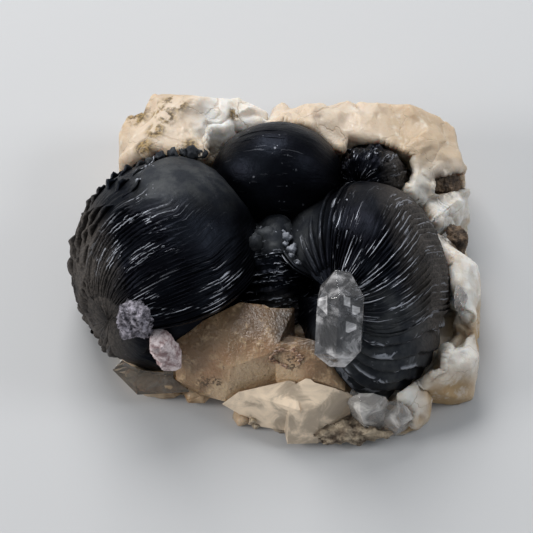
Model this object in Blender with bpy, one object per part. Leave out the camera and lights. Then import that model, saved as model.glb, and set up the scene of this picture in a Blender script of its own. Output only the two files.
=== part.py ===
"""Magnetite rosettes, pseudomorphs after hematite, grown on a piece of milky quartz.

Each rosette is a dome of thin plates that spread like a fan from one point of its surface. The
quartz carries five rosettes, several clear or tinted quartz crystals and a few oxide crusts.
Sizes below are in millimetres and become metres where a mesh is made. +X is to the right, +Y is
to the back and +Z is up. The specimen rests on the flat underside of the quartz, at height 0.
"""

import math

import bmesh
import bpy
from mathutils import Vector, noise

# Driving dimensions
MM = 0.001
CENTRE = Vector((0.083, 3.626, 0.0))  # middle of the whole specimen, which becomes the origin
UNDERSIDE = 0.0  # height at which the quartz is cut off flat
FRONT_FOOT = 2.0  # height at which the large rosettes and the centre plates are cut off
BACK_FOOT = 5.0  # height at which the two small rosettes at the back are cut off
GAP = 0.35  # clear space kept between neighbouring pieces
WELD = 0.0005  # corners closer than this are one corner
FLAT = math.radians(0.6)  # faces that meet at a smaller angle than this are one face
ROOM_SPARE = 0.02  # share of a rosette's size added to its room, because its corners are fewer
ROOM_STEP = 13.0  # degrees between the corners of the surface that cuts out a rosette's room

# Between these angles from the pole, in degrees, the plates bend sideways
BEND_FROM = 8.0
BEND_TO = 78.0

# A plate's cross-section, in shares of the spacing between two plates or of a groove's depth
FACE_AT = 0.5  # where its face has its middle corner
FACE_SINK = 0.4  # how deep that corner lies
TUCK = 0.14  # how far a groove reaches under the next plate's edge
EDGE_VARIES = 0.35  # how much one edge stands out more than another

# The rings of a rosette, in degrees from its pole, and how its edges waver
FIRST_RING = 7.0
LAST_RING = 172.0
FULL_DEPTH_AT = 18.0  # degrees past the first ring over which the grooves become deep
SHALLOWEST = 0.15  # share of a groove's depth at the first ring
MISSING_SIDE = 0.8  # a sector below this share of full size is a side that never grew
RAGGED = 0.012  # shares of the rosette's size
WAVE_ROUND = 0.35
WAVE_ALONG = 0.06


class Rosette:
    """A dome of plates: an ellipsoid whose plates spread from its pole and whose foot is cut flat."""

    def __init__(self, name, centre, semi, pole, zero, foot, sectors, rows, dimple, bend, seed):
        self.name = name
        self.centre = Vector(centre)
        self.semi = Vector(semi)
        self.pole = Vector(pole).normalized()
        self.east = (Vector(zero) - self.pole * self.pole.dot(Vector(zero))).normalized()
        self.north = self.pole.cross(self.east)
        self.foot = foot
        self.sectors = sectors
        self.rows = rows
        self.dimple = dimple
        self.bend = bend
        self.seed = seed

    def turn(self, longitude):
        """How far the plate that starts at this longitude bends round the pole, in degrees."""
        knots = self.bend + [(self.bend[0][0] + 360.0, self.bend[0][1])]
        place = (longitude - knots[0][0]) % 360.0 + knots[0][0]
        for (left, low), (right, high) in zip(knots, knots[1:]):
            if place <= right:
                return low + (high - low) * (place - left) / (right - left)
        return knots[0][1]

    def point(self, longitude, polar, scale):
        """A point by its longitude at the pole and its angle from the pole, in degrees."""
        bent = min(1.0, max(0.0, (polar - BEND_FROM) / (BEND_TO - BEND_FROM)))
        lam = math.radians(longitude + self.turn(longitude) * bent)
        beta = math.radians(polar)
        around = math.cos(lam) * self.east + math.sin(lam) * self.north
        unit = math.cos(beta) * self.pole + math.sin(beta) * around
        depth, width = self.dimple
        scale *= 1.0 - depth * math.exp(-((polar / width) ** 2))
        return self.centre + scale * Vector(a * b for a, b in zip(self.semi, unit))


def plates(start, end, count, depth, flipped=False, level=1.0):
    """One sector of a rosette: plates between two longitudes, each an edge, a face and a groove."""
    return {"start": start, "end": end, "count": count, "depth": depth, "flipped": flipped, "level": level}


def bare(start, end, level, count=3):
    """One sector with no plates, at a share of the dome's full size."""
    return {"start": start, "end": end, "count": count, "depth": 0.0, "flipped": False, "level": level}


LEFT = Rosette(
    "left_rosette", (-15.4, 2.65, 8.0), (14.6, 17.0, 15.5), (-0.60, -0.74, 0.30), (1, 0, 0), FRONT_FOOT,
    [
        plates(14, 68, 8, 0.055),
        bare(69, 116, 0.995, 4),
        plates(117, 262, 12, 0.06, flipped=True),
        bare(264, 312, 0.92, 2),
        bare(324, 370, 0.76, 2),
    ],
    rows=12, dimple=(0.07, 18.0), seed=3.0,
    bend=[(0, 5), (37, -12), (121, -50), (155, -62), (190, -52), (262, 0), (350, 0)],
)
RIGHT = Rosette(
    "right_rosette", (13.8, -0.9, 6.5), (12.6, 16.6, 16.0), (-0.52, -0.44, 0.733), (1, 0, 0), FRONT_FOOT,
    [
        plates(-112, -50, 6, 0.10),
        plates(-50, 40, 12, 0.065),
        bare(41, 58, 0.985, 1),
        plates(60, 150, 9, 0.065, flipped=True),
        bare(153, 246, 0.70, 4),
    ],
    rows=12, dimple=(0.18, 26.0), seed=11.0,
    bend=[(-114, 40), (-40, 42), (20, 32), (60, 16), (90, 3), (130, 0), (180, 10)],
)
BACK = Rosette(
    "back_rosette", (0.8, 15.4, 9.5), (10.3, 8.6, 12.0), (0.96, -0.12, 0.1), (0, 0, 1), BACK_FOOT,
    [plates(-100, 100, 13, 0.06), bare(102, 258, 0.95, 4)],
    rows=11, dimple=(0.05, 20.0), bend=[(0, 0), (180, 0)], seed=23.0,
)
CENTRE_GROUP = Rosette(
    "centre_plates", (0.5, 2.3, 5.0), (7.5, 9.5, 10.5), (0.96, 0.0, 0.2), (0, 0, 1), FRONT_FOOT,
    [plates(-60, 110, 9, 0.08), bare(112, 298, 0.95, 4)],
    rows=9, dimple=(0.05, 20.0), bend=[(0, 0), (180, 0)], seed=31.0,
)
CORNER = Rosette(
    "corner_plates", (14.6, 15.8, 10.0), (6.0, 5.6, 7.6), (-0.5, -0.6, 0.6), (1, 0, 0), BACK_FOOT,
    [plates(-180, 180, 13, 0.12)],
    rows=7, dimple=(0.15, 30.0), bend=[(0, 12), (180, 12)], seed=41.0,
)


def ring(sectors, seed):
    """The cross-section of a rosette round its pole, as (longitude, share of full size)."""
    nodes = []
    for sector in sectors:
        start, count, depth, level = sector["start"], sector["count"], sector["depth"], sector["level"]
        width = (sector["end"] - start) / count
        for k in range(count):
            edge = EDGE_VARIES * depth * math.sin(2.4 * k * k + seed)
            low = start + width * k
            if depth == 0.0:
                nodes.append((low, level))
            elif sector["flipped"]:
                nodes.append((low - TUCK * width, level - depth))
                nodes.append((low + FACE_AT * width, level - FACE_SINK * depth))
                nodes.append((low + width, level + edge))
            else:
                nodes.append((low, level + edge))
                nodes.append((low + FACE_AT * width, level - FACE_SINK * depth))
                nodes.append((low + width * (1.0 + TUCK), level - depth))
        if depth == 0.0:
            nodes.append((sector["end"], level))
    return nodes


def smooth_ring(sectors):
    """The outline of the same rosette with its grooves filled."""
    nodes = []
    for sector in sectors:
        level = sector["level"] + EDGE_VARIES * sector["depth"]
        steps = max(2, round((sector["end"] - sector["start"]) / ROOM_STEP))
        whole_circle = sector["end"] - sector["start"] >= 360
        for k in range(steps if whole_circle else steps + 1):
            longitude = sector["start"] + (sector["end"] - sector["start"]) * k / steps
            nodes.append((longitude, level))
    return nodes


def link(name, bm, material=None):
    """Makes an object of a mesh that was built in millimetres round the middle of the base."""
    bmesh.ops.translate(bm, verts=bm.verts, vec=-CENTRE)
    bmesh.ops.scale(bm, verts=bm.verts, vec=(MM, MM, MM))
    bmesh.ops.recalc_face_normals(bm, faces=bm.faces)
    mesh = bpy.data.meshes.new(name)
    bm.to_mesh(mesh)
    bm.free()
    obj = bpy.data.objects.new(name, mesh)
    bpy.context.scene.collection.objects.link(obj)
    if material:
        mesh.materials.append(material)
    return obj


def helper(obj):
    """Marks an object that only cuts or joins others."""
    obj.hide_render = True
    obj.display_type = "WIRE"
    return obj


def cut_foot(bm, height):
    """Cuts a mesh off flat at a height and closes the cut."""
    everything = bm.verts[:] + bm.edges[:] + bm.faces[:]
    cut = bmesh.ops.bisect_plane(
        bm, geom=everything, dist=1e-5, plane_co=(0, 0, height), plane_no=(0, 0, -1), clear_outer=True
    )
    rim = [g for g in cut["geom_cut"] if isinstance(g, bmesh.types.BMEdge)]
    bmesh.ops.triangle_fill(bm, edges=rim, use_beauty=True, normal=(0, 0, -1))


def dome(rosette, nodes, rows, foot, ragged=0.0, grow=0.0):
    """The closed surface through the ring's nodes at each angle from the pole, cut off at the foot."""
    bm = bmesh.new()
    rings = []
    for row in range(rows):
        polar = FIRST_RING + (LAST_RING - FIRST_RING) * row / (rows - 1)
        fade = min(1.0, (polar - FIRST_RING) / FULL_DEPTH_AT + SHALLOWEST)
        points = []
        for longitude, share in nodes:
            place = Vector((longitude * WAVE_ROUND, polar * WAVE_ALONG, rosette.seed))
            wave = ragged * noise.noise(place)
            level = 1.0 + (share - 1.0) * (fade if share > MISSING_SIDE else 1.0)
            points.append(bm.verts.new(rosette.point(longitude, polar, level + wave + grow)))
        rings.append(points)
    top = bm.verts.new(rosette.point(0.0, 0.0, 1.0 + grow))
    bottom = bm.verts.new(rosette.point(0.0, 180.0, 1.0 + grow))
    count = len(nodes)
    for k in range(count):
        after = (k + 1) % count
        bm.faces.new((top, rings[0][k], rings[0][after]))
        bm.faces.new((bottom, rings[-1][after], rings[-1][k]))
        for upper, lower in zip(rings, rings[1:]):
            bm.faces.new((upper[k], lower[k], lower[after], upper[after]))
    bmesh.ops.triangulate(bm, faces=bm.faces)
    cut_foot(bm, foot)
    return bm


def rosette_solid(rosette, material):
    """The plates of one rosette, grown together in one solid."""
    nodes = ring(rosette.sectors, rosette.seed)
    bm = dome(rosette, nodes, rosette.rows, rosette.foot, ragged=RAGGED)
    return link(rosette.name, bm, material)


def rosette_cutter(rosette):
    """The room that a rosette takes up, with the gap round it."""
    margin = ROOM_SPARE + GAP / min(rosette.semi)
    bm = dome(rosette, smooth_ring(rosette.sectors), rosette.rows, rosette.foot - GAP, grow=margin)
    return helper(link(rosette.name + "_room", bm))


def hull(points):
    """The flat-faced solid that wraps round some points."""
    bm = bmesh.new()
    for point in points:
        bm.verts.new(point)
    made = bmesh.ops.convex_hull(bm, input=bm.verts)
    spare = {v for v in made["geom_interior"] + made["geom_unused"] if isinstance(v, bmesh.types.BMVert)}
    bmesh.ops.delete(bm, geom=list(spare), context="VERTS")
    return bm


def grown(points, margin):
    """The same points moved away from their middle by a margin."""
    middle = sum((Vector(p) for p in points), Vector()) / len(points)
    return [Vector(p) + (Vector(p) - middle).normalized() * margin for p in points]


BELOW = (40.0, 20.0)  # half the width and the depth of the block that cuts the underside flat
BLUNTNESS = 4.0  # 2 would make a lump round, and a large number would make it a box
SHAKE = 0.13
SHAKE_SCALE = 2.1
CAP_VARIES = 0.25  # a crystal's three large cap faces reach further down than the other three
CREST = 0.28  # half the length of a cap's crest, as a share of the crystal's radius


def chunk_points(centre, half, seed, count=34):
    """Points on a block with blunt corners, spread evenly and shaken, for a broken lump of quartz."""
    golden = math.pi * (3.0 - math.sqrt(5.0))
    found = []
    for k in range(count):
        height = 1.0 - 2.0 * (k + 0.5) / count
        spread = math.sqrt(1.0 - height * height)
        turn = golden * k + seed
        unit = Vector((spread * math.cos(turn), spread * math.sin(turn), height))
        blunt = sum(abs(part) ** BLUNTNESS for part in unit) ** (-1.0 / BLUNTNESS)
        shake = 1.0 + SHAKE * noise.noise(unit * SHAKE_SCALE + Vector((seed, 0, 0)))
        found.append(Vector(centre) + Vector(u * blunt * shake * h for u, h in zip(unit, half)))
    return found


def crystal_points(foot, tip, radius, shoulder, foot_shoulder, turn):
    """A six-sided quartz crystal between two ends, with a pointed cap at each end."""
    foot, tip = Vector(foot), Vector(tip)
    axis = (tip - foot).normalized()
    side = axis.cross(Vector((0, 1, 0)) if abs(axis.y) < 0.9 else Vector((1, 0, 0))).normalized()
    front = axis.cross(side)
    found = []
    for k in range(6):
        angle = turn + math.pi * k / 3.0
        out = radius * (math.cos(angle) * side + math.sin(angle) * front)
        uneven = 1.0 + CAP_VARIES * math.cos(2.0 * math.pi * k / 3.0)
        found.append(tip - axis * shoulder * uneven + out)
        found.append(foot + axis * foot_shoulder * (2.0 - uneven) + out)
    crest = CREST * radius * side
    found += [tip + crest, tip - crest - CREST * axis, foot + crest, foot - crest]
    return found


# The broken lumps that the milky quartz is made of: middle, half its size, and its shaking
CHUNKS = [
    ((2.6, 3.0, 1.6), (22.5, 19.0, 4.6), 1.0),  # the slab under everything
    ((-12.8, 21.6, 6.4), (9.6, 8.6, 9.6), 2.7),  # back left block
    ((-18.6, 23.0, 9.6), (3.2, 4.6, 4.2), 5.1),  # stained ledge on it
    ((-5.6, 24.4, 8.6), (4.6, 4.6, 5.4), 6.4),  # clear corner of it
    ((7.4, 20.4, 5.8), (9.8, 8.6, 9.4), 3.3),  # back right block, left half
    ((18.8, 19.4, 6.0), (9.2, 8.8, 8.6), 4.2),  # back right block, right half
    ((25.0, 9.6, 4.4), (4.2, 7.0, 6.6), 7.5),  # right rim, towards the back
    ((26.0, -0.6, 4.0), (4.4, 7.6, 6.2), 8.6),  # right rim, middle
    ((24.2, -9.2, 3.0), (5.4, 6.6, 5.4), 9.2),  # right rim, towards the front
    ((14.6, -15.8, 1.8), (8.0, 5.0, 4.2), 10.3),  # front right
    ((2.6, -14.0, 1.0), (9.6, 6.0, 4.0), 11.9),  # front
    ((-12.4, -7.0, 1.6), (8.0, 7.4, 3.8), 12.8),  # under the left rosette
]

STANDING = crystal_points((9.2, -16.2, 12.2), (9.9, -6.0, 22.0), 3.7, 3.4, 2.8, 0.35)
AMBER_LEFT = [
    (-4.6, -5.6, 12.0), (-9.8, -8.6, 12.0), (-13.6, -10.8, 10.2), (0.3, -13.4, 11.6), (-5.8, -14.6, 9.3),
    (-6.8, -17.2, 3.6), (-10.5, -15.6, 2.6), (-13.8, -14.4, 5.0), (-14.4, -9.5, 2.0), (3.4, -15.6, 3.0),
    (3.2, -6.0, 11.0), (-4.0, -4.0, 3.0),
]
AMBER_RIGHT = [
    (0.5, -12.6, 11.9), (5.5, -11.8, 12.3), (11.2, -15.2, 11.4), (10.8, -17.6, 9.2), (4.0, -16.2, 8.6),
    (0.5, -15.4, 7.0), (1.0, -9.0, 9.0), (9.0, -10.0, 7.0), (9.5, -17.0, 3.0), (2.0, -16.8, 3.0),
]
FRONT_POINT = [
    (-7.2, -17.5, 3.4), (-4.8, -16.9, 6.0), (3.2, -16.0, 8.2), (4.0, -20.2, 6.6), (-1.6, -19.9, 0.9),
    (4.0, -21.0, 1.2), (-4.5, -16.6, 1.2), (3.0, -15.6, 1.5),
]
FRONT_LUMP = [
    (1.8, -17.4, 7.6), (4.8, -16.4, 9.2), (9.6, -17.0, 8.6), (11.6, -17.8, 6.8), (11.0, -19.6, 2.2),
    (6.6, -19.8, 6.9), (2.4, -20.4, 5.6), (2.2, -22.8, 1.2), (6.6, -22.6, 1.0), (1.2, -18.0, 1.0),
    (10.6, -17.2, 1.0),
]
CORNER_BIG = crystal_points((14.6, -18.6, 1.2), (13.2, -18.0, 9.0), 3.0, 1.8, 0.8, 0.2)
CORNER_SMALL = crystal_points((17.2, -19.4, 0.9), (18.4, -19.4, 6.2), 2.3, 1.4, 0.6, 0.6)
RIM_UPPER = crystal_points((27.0, -3.4, 6.4), (25.8, -4.6, 12.8), 1.9, 1.3, 0.5, 0.1)
RIM_LOWER = crystal_points((26.6, -7.6, 5.6), (25.2, -9.6, 12.0), 2.4, 1.5, 0.5, 0.5)
LEFT_SLIVER = [
    (-23.0, -12.4, 4.2), (-19.4, -15.6, 2.6), (-12.0, -15.5, 3.2), (-11.4, -12.6, 6.4), (-20.6, -10.8, 6.4),
    (-13.0, -11.0, 2.2), (-19.0, -12.0, 1.8),
]

WHITE_SLIVER = crystal_points((-13.8, -13.8, 8.6), (-16.8, -12.0, 14.0), 1.3, 1.1, 0.7, 0.3)

# Every crystal group: its name, its material, and the crystals that have grown together in it
CRYSTALS = [
    ("standing_quartz", "clear_quartz", [STANDING]),
    ("amber_quartz", "amber_quartz", [AMBER_LEFT, AMBER_RIGHT]),
    ("front_quartz", "clear_quartz", [FRONT_POINT, FRONT_LUMP]),
    ("corner_quartz", "clear_quartz", [CORNER_BIG, CORNER_SMALL]),
    ("rim_quartz", "clear_quartz", [RIM_LOWER, RIM_UPPER]),
    ("left_quartz", "clear_quartz", [LEFT_SLIVER]),
    ("white_quartz", "milky_quartz", [WHITE_SLIVER]),
]

# Every crust: its name, its material, its middle, half its size, and its shaking
CRUSTS = [
    ("back_crust", "iron_oxide", (24.9, 15.6, 10.0), (2.7, 2.2, 2.2), 14.0),
    ("side_crust", "iron_oxide", (26.9, 6.9, 8.2), (1.7, 2.2, 2.2), 15.0),
    ("front_crust", "iron_oxide", (10.6, -20.9, 2.1), (6.4, 2.2, 1.6), 16.0),
    ("pale_crust", "pale_crust", (-19.2, -10.0, 15.4), (2.8, 2.6, 3.8), 17.0),
]

# Who gives way to whom: each piece is cut to clear the pieces that grew before it
GIVES_WAY = {
    "right_rosette": ["standing_quartz"],
    "back_rosette": ["left_rosette", "right_rosette"],
    "centre_plates": ["left_rosette", "right_rosette", "back_rosette", "standing_quartz"],
    "corner_plates": ["right_rosette", "back_rosette"],
    "amber_quartz": ["left_rosette", "right_rosette", "centre_plates", "standing_quartz"],
    "front_quartz": ["right_rosette", "standing_quartz", "amber_quartz"],
    "corner_quartz": ["right_rosette", "front_quartz"],
    "rim_quartz": ["right_rosette"],
    "left_quartz": ["left_rosette", "amber_quartz"],
    "white_quartz": ["left_rosette", "amber_quartz"],
    "pale_crust": ["left_rosette", "white_quartz"],
    "back_crust": ["right_rosette", "corner_plates"],
    "side_crust": ["right_rosette"],
    "front_crust": ["right_rosette", "front_quartz", "corner_quartz"],
}

# Colour, roughness, metallic and transmission of each material
MATERIALS = {
    "magnetite": ((0.035, 0.037, 0.045), 0.42, 0.75, 0.0),
    "milky_quartz": ((0.78, 0.71, 0.60), 0.45, 0.0, 0.0),
    "clear_quartz": ((0.86, 0.86, 0.84), 0.05, 0.0, 0.9),
    "amber_quartz": ((0.42, 0.29, 0.17), 0.30, 0.0, 0.0),
    "iron_oxide": ((0.13, 0.085, 0.05), 0.85, 0.0, 0.0),
    "pale_crust": ((0.45, 0.42, 0.46), 0.70, 0.0, 0.0),
}


def stone_material(name, colour, roughness, metallic, transmission):
    material = bpy.data.materials.new(name)
    material.use_nodes = True
    shader = material.node_tree.nodes["Principled BSDF"]
    shader.inputs["Base Color"].default_value = (*colour, 1.0)
    shader.inputs["Roughness"].default_value = roughness
    shader.inputs["Metallic"].default_value = metallic
    shader.inputs["Transmission Weight"].default_value = transmission
    material.diffuse_color = (*colour, 1.0)
    return material


def boolean(obj, other, operation):
    """Joins another object to this one or cuts it away, and welds the new corners."""
    modifier = obj.modifiers.new(operation.title() + "_" + other.name, "BOOLEAN")
    modifier.object = other
    modifier.operation = operation
    modifier.solver = "EXACT"
    graph = bpy.context.evaluated_depsgraph_get()
    mesh = bpy.data.meshes.new_from_object(obj.evaluated_get(graph))
    obj.modifiers.clear()
    obj.data = mesh
    bm = bmesh.new()
    bm.from_mesh(mesh)
    bmesh.ops.remove_doubles(bm, verts=bm.verts, dist=WELD * MM)
    bmesh.ops.dissolve_degenerate(bm, edges=bm.edges, dist=WELD * MM)
    bmesh.ops.dissolve_limit(bm, angle_limit=FLAT, verts=bm.verts, edges=bm.edges)
    bmesh.ops.triangulate(bm, faces=bm.faces)
    bm.to_mesh(mesh)
    bm.free()


def keep_largest(obj):
    """Removes the crumbs that the cuts leave beside an object's largest body."""
    bm = bmesh.new()
    bm.from_mesh(obj.data)
    unseen = set(bm.verts)
    bodies = []
    while unseen:
        body, front = set(), [unseen.pop()]
        while front:
            vert = front.pop()
            body.add(vert)
            for edge in vert.link_edges:
                other = edge.other_vert(vert)
                if other in unseen:
                    unseen.discard(other)
                    front.append(other)
        bodies.append(body)
    largest = max(bodies, key=len)
    crumbs = [v for body in bodies if body is not largest for v in body]
    bmesh.ops.delete(bm, geom=crumbs, context="VERTS")
    bm.to_mesh(obj.data)
    bm.free()


def crystal_group(name, parts, material):
    """The crystals of one group, joined in one solid."""
    piece = link(name, hull(parts[0]), material)
    for k, part in enumerate(parts[1:]):
        boolean(piece, helper(link(f"{name}_{k}", hull(part))), "UNION")
    return piece


def grown_rooms(name, parts):
    """The room that some flat-faced parts take up, with the gap round them."""
    return [helper(link(f"{name}_room_{k}", hull(grown(part, GAP)))) for k, part in enumerate(parts)]


def matrix_block(material):
    """The lumps of milky quartz in one solid, cut off flat underneath."""
    matrix = link("quartz_matrix", hull(chunk_points(*CHUNKS[0])), material)
    for k, chunk in enumerate(CHUNKS[1:]):
        boolean(matrix, helper(link(f"lump_{k}", hull(chunk_points(*chunk)))), "UNION")
    reach, depth = BELOW
    corners = [(x, y, z) for x in (-reach, reach) for y in (-reach, reach) for z in (-depth, UNDERSIDE)]
    boolean(matrix, helper(link("below_the_underside", hull(corners))), "DIFFERENCE")
    return matrix


def main():
    for obj in list(bpy.data.objects):
        bpy.data.objects.remove(obj)
    materials = {name: stone_material(name, *values) for name, values in MATERIALS.items()}
    pieces, rooms = {}, {}
    for rosette in (LEFT, RIGHT, CENTRE_GROUP, BACK, CORNER):
        pieces[rosette.name] = rosette_solid(rosette, materials["magnetite"])
        rooms[rosette.name] = [rosette_cutter(rosette)]
    for name, slot, parts in CRYSTALS:
        pieces[name] = crystal_group(name, parts, materials[slot])
        rooms[name] = grown_rooms(name, parts)
    for name, slot, *shape in CRUSTS:
        pieces[name] = link(name, hull(chunk_points(*shape)), materials[slot])
        rooms[name] = grown_rooms(name, [chunk_points(*shape)]) if slot == "iron_oxide" else []

    for name, others in GIVES_WAY.items():
        for room in [room for other in others for room in rooms[other]]:
            boolean(pieces[name], room, "DIFFERENCE")
    pieces["quartz_matrix"] = matrix_block(materials["milky_quartz"])
    for room in [room for group in rooms.values() for room in group]:
        boolean(pieces["quartz_matrix"], room, "DIFFERENCE")

    for piece in pieces.values():
        keep_largest(piece)
    for obj in list(bpy.data.objects):
        if obj.hide_render:
            bpy.data.objects.remove(obj)


main()
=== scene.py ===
# %% [markdown]
# # Magnetite rosettes on quartz
#
# The specimen is a piece of cream quartz that carries domes of thin, dark metallic plates. The
# plates are magnetite that took the place of hematite and kept its shape. Clear quartz crystals
# stand between them. Everything here is built in the frame of the solid model: metres, +X to the
# right, +Y to the back, +Z up, with the middle of the underside at the origin.
#
# This lesson first makes a small language for node trees, then the camera and the light, the
# finish of the plates and their domes, the rock with its crusts, and last the clear crystals.

import math

import bmesh
import bpy
import numpy as np
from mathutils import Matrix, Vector, noise


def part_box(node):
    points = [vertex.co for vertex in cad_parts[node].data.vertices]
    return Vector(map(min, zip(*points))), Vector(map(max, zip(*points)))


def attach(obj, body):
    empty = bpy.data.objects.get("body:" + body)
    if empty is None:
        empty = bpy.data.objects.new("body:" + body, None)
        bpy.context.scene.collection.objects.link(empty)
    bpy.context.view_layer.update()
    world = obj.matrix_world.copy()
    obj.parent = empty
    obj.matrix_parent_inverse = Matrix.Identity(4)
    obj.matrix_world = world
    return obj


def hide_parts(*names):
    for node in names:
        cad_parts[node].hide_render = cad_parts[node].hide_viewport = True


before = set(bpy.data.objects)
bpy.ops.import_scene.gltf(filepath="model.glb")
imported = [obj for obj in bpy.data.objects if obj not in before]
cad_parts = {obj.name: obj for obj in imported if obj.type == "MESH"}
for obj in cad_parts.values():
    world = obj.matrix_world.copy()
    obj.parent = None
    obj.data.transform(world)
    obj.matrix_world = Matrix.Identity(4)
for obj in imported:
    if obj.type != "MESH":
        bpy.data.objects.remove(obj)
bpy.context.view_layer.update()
MM = 0.001
MIDDLE = np.array((0.083, 3.626, 0.0))  # the middle of the underside, in millimetres of the drawing
print("nodes of the solid model:", len(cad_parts))


def place(points):
    """Millimetres of the drawing to metres of the frame."""
    return (np.asarray(points, float) - MIDDLE) * MM


def new_object(name, data):
    """An object in the scene, at the origin."""
    obj = bpy.data.objects.new(name, data)
    bpy.context.scene.collection.objects.link(obj)
    return obj


# %% [markdown]
# ## A small language for node trees
#
# A finish or a shape rule is a formula. Blender keeps formulas as boxes and wires, which are long
# to write. The class below wraps one output socket, so that `a * 2 + b` adds the boxes by itself.
# It serves for shader trees and for geometry trees, because both use the same Math node. Vectors
# have Vector Math and colours have Mix, because a Math node would make one number of them.


# %% Sockets that can be added and multiplied
class Flow:
    """One output socket of a node tree, with Python's operators."""

    def __init__(self, tree, socket=None):
        self.tree, self.socket = tree, socket

    def make(self, kind, settings=None, values=None, out=0):
        """Adds any node: its type, its settings, then the values or links of its sockets."""
        node = self.tree.nodes.new(kind)
        for name, value in (settings or {}).items():
            setattr(node, name, value)
        for key, value in (values or {}).items():
            if isinstance(value, Flow):
                self.tree.links.new(value.socket, node.inputs[key])
            else:
                node.inputs[key].default_value = value
        return Flow(self.tree, node.outputs[out])

    def math(self, operation, *others):
        values = dict(enumerate((self,) + others))
        return self.make("ShaderNodeMath", {"operation": operation}, values)

    def flipped_math(self, operation, other):
        return self.make("ShaderNodeMath", {"operation": operation}, {0: other, 1: self})

    def vector(self, operation, *others, out=0):
        values = dict(enumerate((self,) + others))
        return self.make("ShaderNodeVectorMath", {"operation": operation}, values, out)

    def scaled(self, factor):
        return self.make("ShaderNodeVectorMath", {"operation": "SCALE"}, {0: self, 3: factor})

    def part(self, number):
        """The x, y or z of a vector, by its number."""
        return self.make("ShaderNodeSeparateXYZ", {}, {0: self}, number)

    def __add__(self, other):
        return self.math("ADD", other)

    def __sub__(self, other):
        return self.math("SUBTRACT", other)

    def __mul__(self, other):
        return self.math("MULTIPLY", other)

    def __truediv__(self, other):
        return self.math("DIVIDE", other)

    def __pow__(self, other):
        return self.math("POWER", other)

    def __neg__(self):
        return self.math("MULTIPLY", -1.0)

    def __rsub__(self, other):
        return self.flipped_math("SUBTRACT", other)

    def __rtruediv__(self, other):
        return self.flipped_math("DIVIDE", other)

    __radd__, __rmul__ = __add__, __mul__

    def between(self, low, high):
        """0 below one limit and 1 above the other, with a smooth step between them."""
        settings = {"interpolation_type": "SMOOTHSTEP", "clamp": True}
        return self.make("ShaderNodeMapRange", settings, {0: self, 1: low, 2: high})

    def mix(self, low, high):
        """A colour that goes from one to another as this value goes from 0 to 1."""
        values = {0: self, 6: low, 7: high}
        return self.make("ShaderNodeMix", {"data_type": "RGBA"}, values, out=2)

    def speckle(self, scale, detail, roughness=0.55, warp=0.0):
        """Fractal noise from 0 to 1 at the places that this vector gives."""
        values = {"Vector": self, "Scale": scale, "Detail": detail}
        values.update({"Roughness": roughness, "Distortion": warp})
        return self.make("ShaderNodeTexNoise", {"noise_dimensions": "3D"}, values)


def rgb(red, green, blue):
    return (red, green, blue, 1.0)


print("node language ready")

# %% [markdown]
# ## Camera
#
# The photograph looks down steeply on the specimen, with no horizon and little perspective. A long
# lens from about 60 degrees above the table gives that view.

# %% Camera
ELEVATION = math.radians(60.0)
CAMERA_AWAY = 0.42
PHOTO_SPAN = 0.0776  # metres of the object's middle plane across the picture
SENSOR = 36.0
aim = Vector(place((-0.8, 2.62, 8.0)))

camera_data = bpy.data.cameras.new("camera")
camera_data.sensor_width = SENSOR
camera_data.lens = SENSOR * CAMERA_AWAY / PHOTO_SPAN
camera_data.clip_start = 0.01
camera = new_object("camera", camera_data)
back = Vector((0.0, -math.cos(ELEVATION), math.sin(ELEVATION)))
camera.location = aim + back * CAMERA_AWAY
camera.rotation_euler = (math.pi / 2 - ELEVATION, 0.0, 0.0)
bpy.context.scene.camera = camera
print("lens", round(camera_data.lens), "mm")

# %% [markdown]
# ## Light and floor
#
# The backdrop is a pale grey sheet, a little darker towards the bottom of the picture, with a soft
# shadow in front of the specimen. So the main light is a wide soft one from above and behind. A
# smaller one low on the left is what the bright face of the standing crystal mirrors, and another
# on the right fills in the shaded side.


# %% Lights
def softbox(name, location, size, power, colour=(1.0, 1.0, 1.0)):
    """A square area light that points at the specimen."""
    data = bpy.data.lights.new(name, "AREA")
    data.size = size
    data.energy = power
    data.color = colour
    light = new_object(name, data)
    light.location = location
    light.rotation_euler = (aim - Vector(location)).to_track_quat("-Z", "Y").to_euler()


softbox("main_light", (-0.08, 0.34, 0.34), 0.26, 2.0)
softbox("left_light", (-0.44, -0.06, 0.20), 0.16, 1.3, (1.0, 0.985, 0.96))
softbox("right_light", (0.40, 0.02, 0.30), 0.16, 0.65, (0.95, 0.975, 1.0))

world = bpy.data.worlds.new("studio")
world.use_nodes = True
sky = world.node_tree.nodes["Background"].inputs
sky["Color"].default_value = rgb(0.86, 0.93, 1.0)
sky["Strength"].default_value = 0.30
bpy.context.scene.world = world
bpy.context.scene.view_settings.view_transform = "Standard"
print("lights ready")

# %% Floor
FLOOR_REACH = 1.6
floor_mesh = bpy.data.meshes.new("floor")
floor_corners = [(x * FLOOR_REACH, y * FLOOR_REACH, 0) for x, y in ((-1, -1), (1, -1), (1, 1), (-1, 1))]
floor_mesh.from_pydata(floor_corners, [], [(0, 1, 2, 3)])
floor = new_object("floor", floor_mesh)
paper = bpy.data.materials.new("floor_paper")
paper.use_nodes = True
sheet = paper.node_tree.nodes["Principled BSDF"].inputs
sheet["Base Color"].default_value = rgb(0.53, 0.53, 0.535)
sheet["Roughness"].default_value = 0.9
floor_mesh.materials.append(paper)
print("floor ready")

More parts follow.
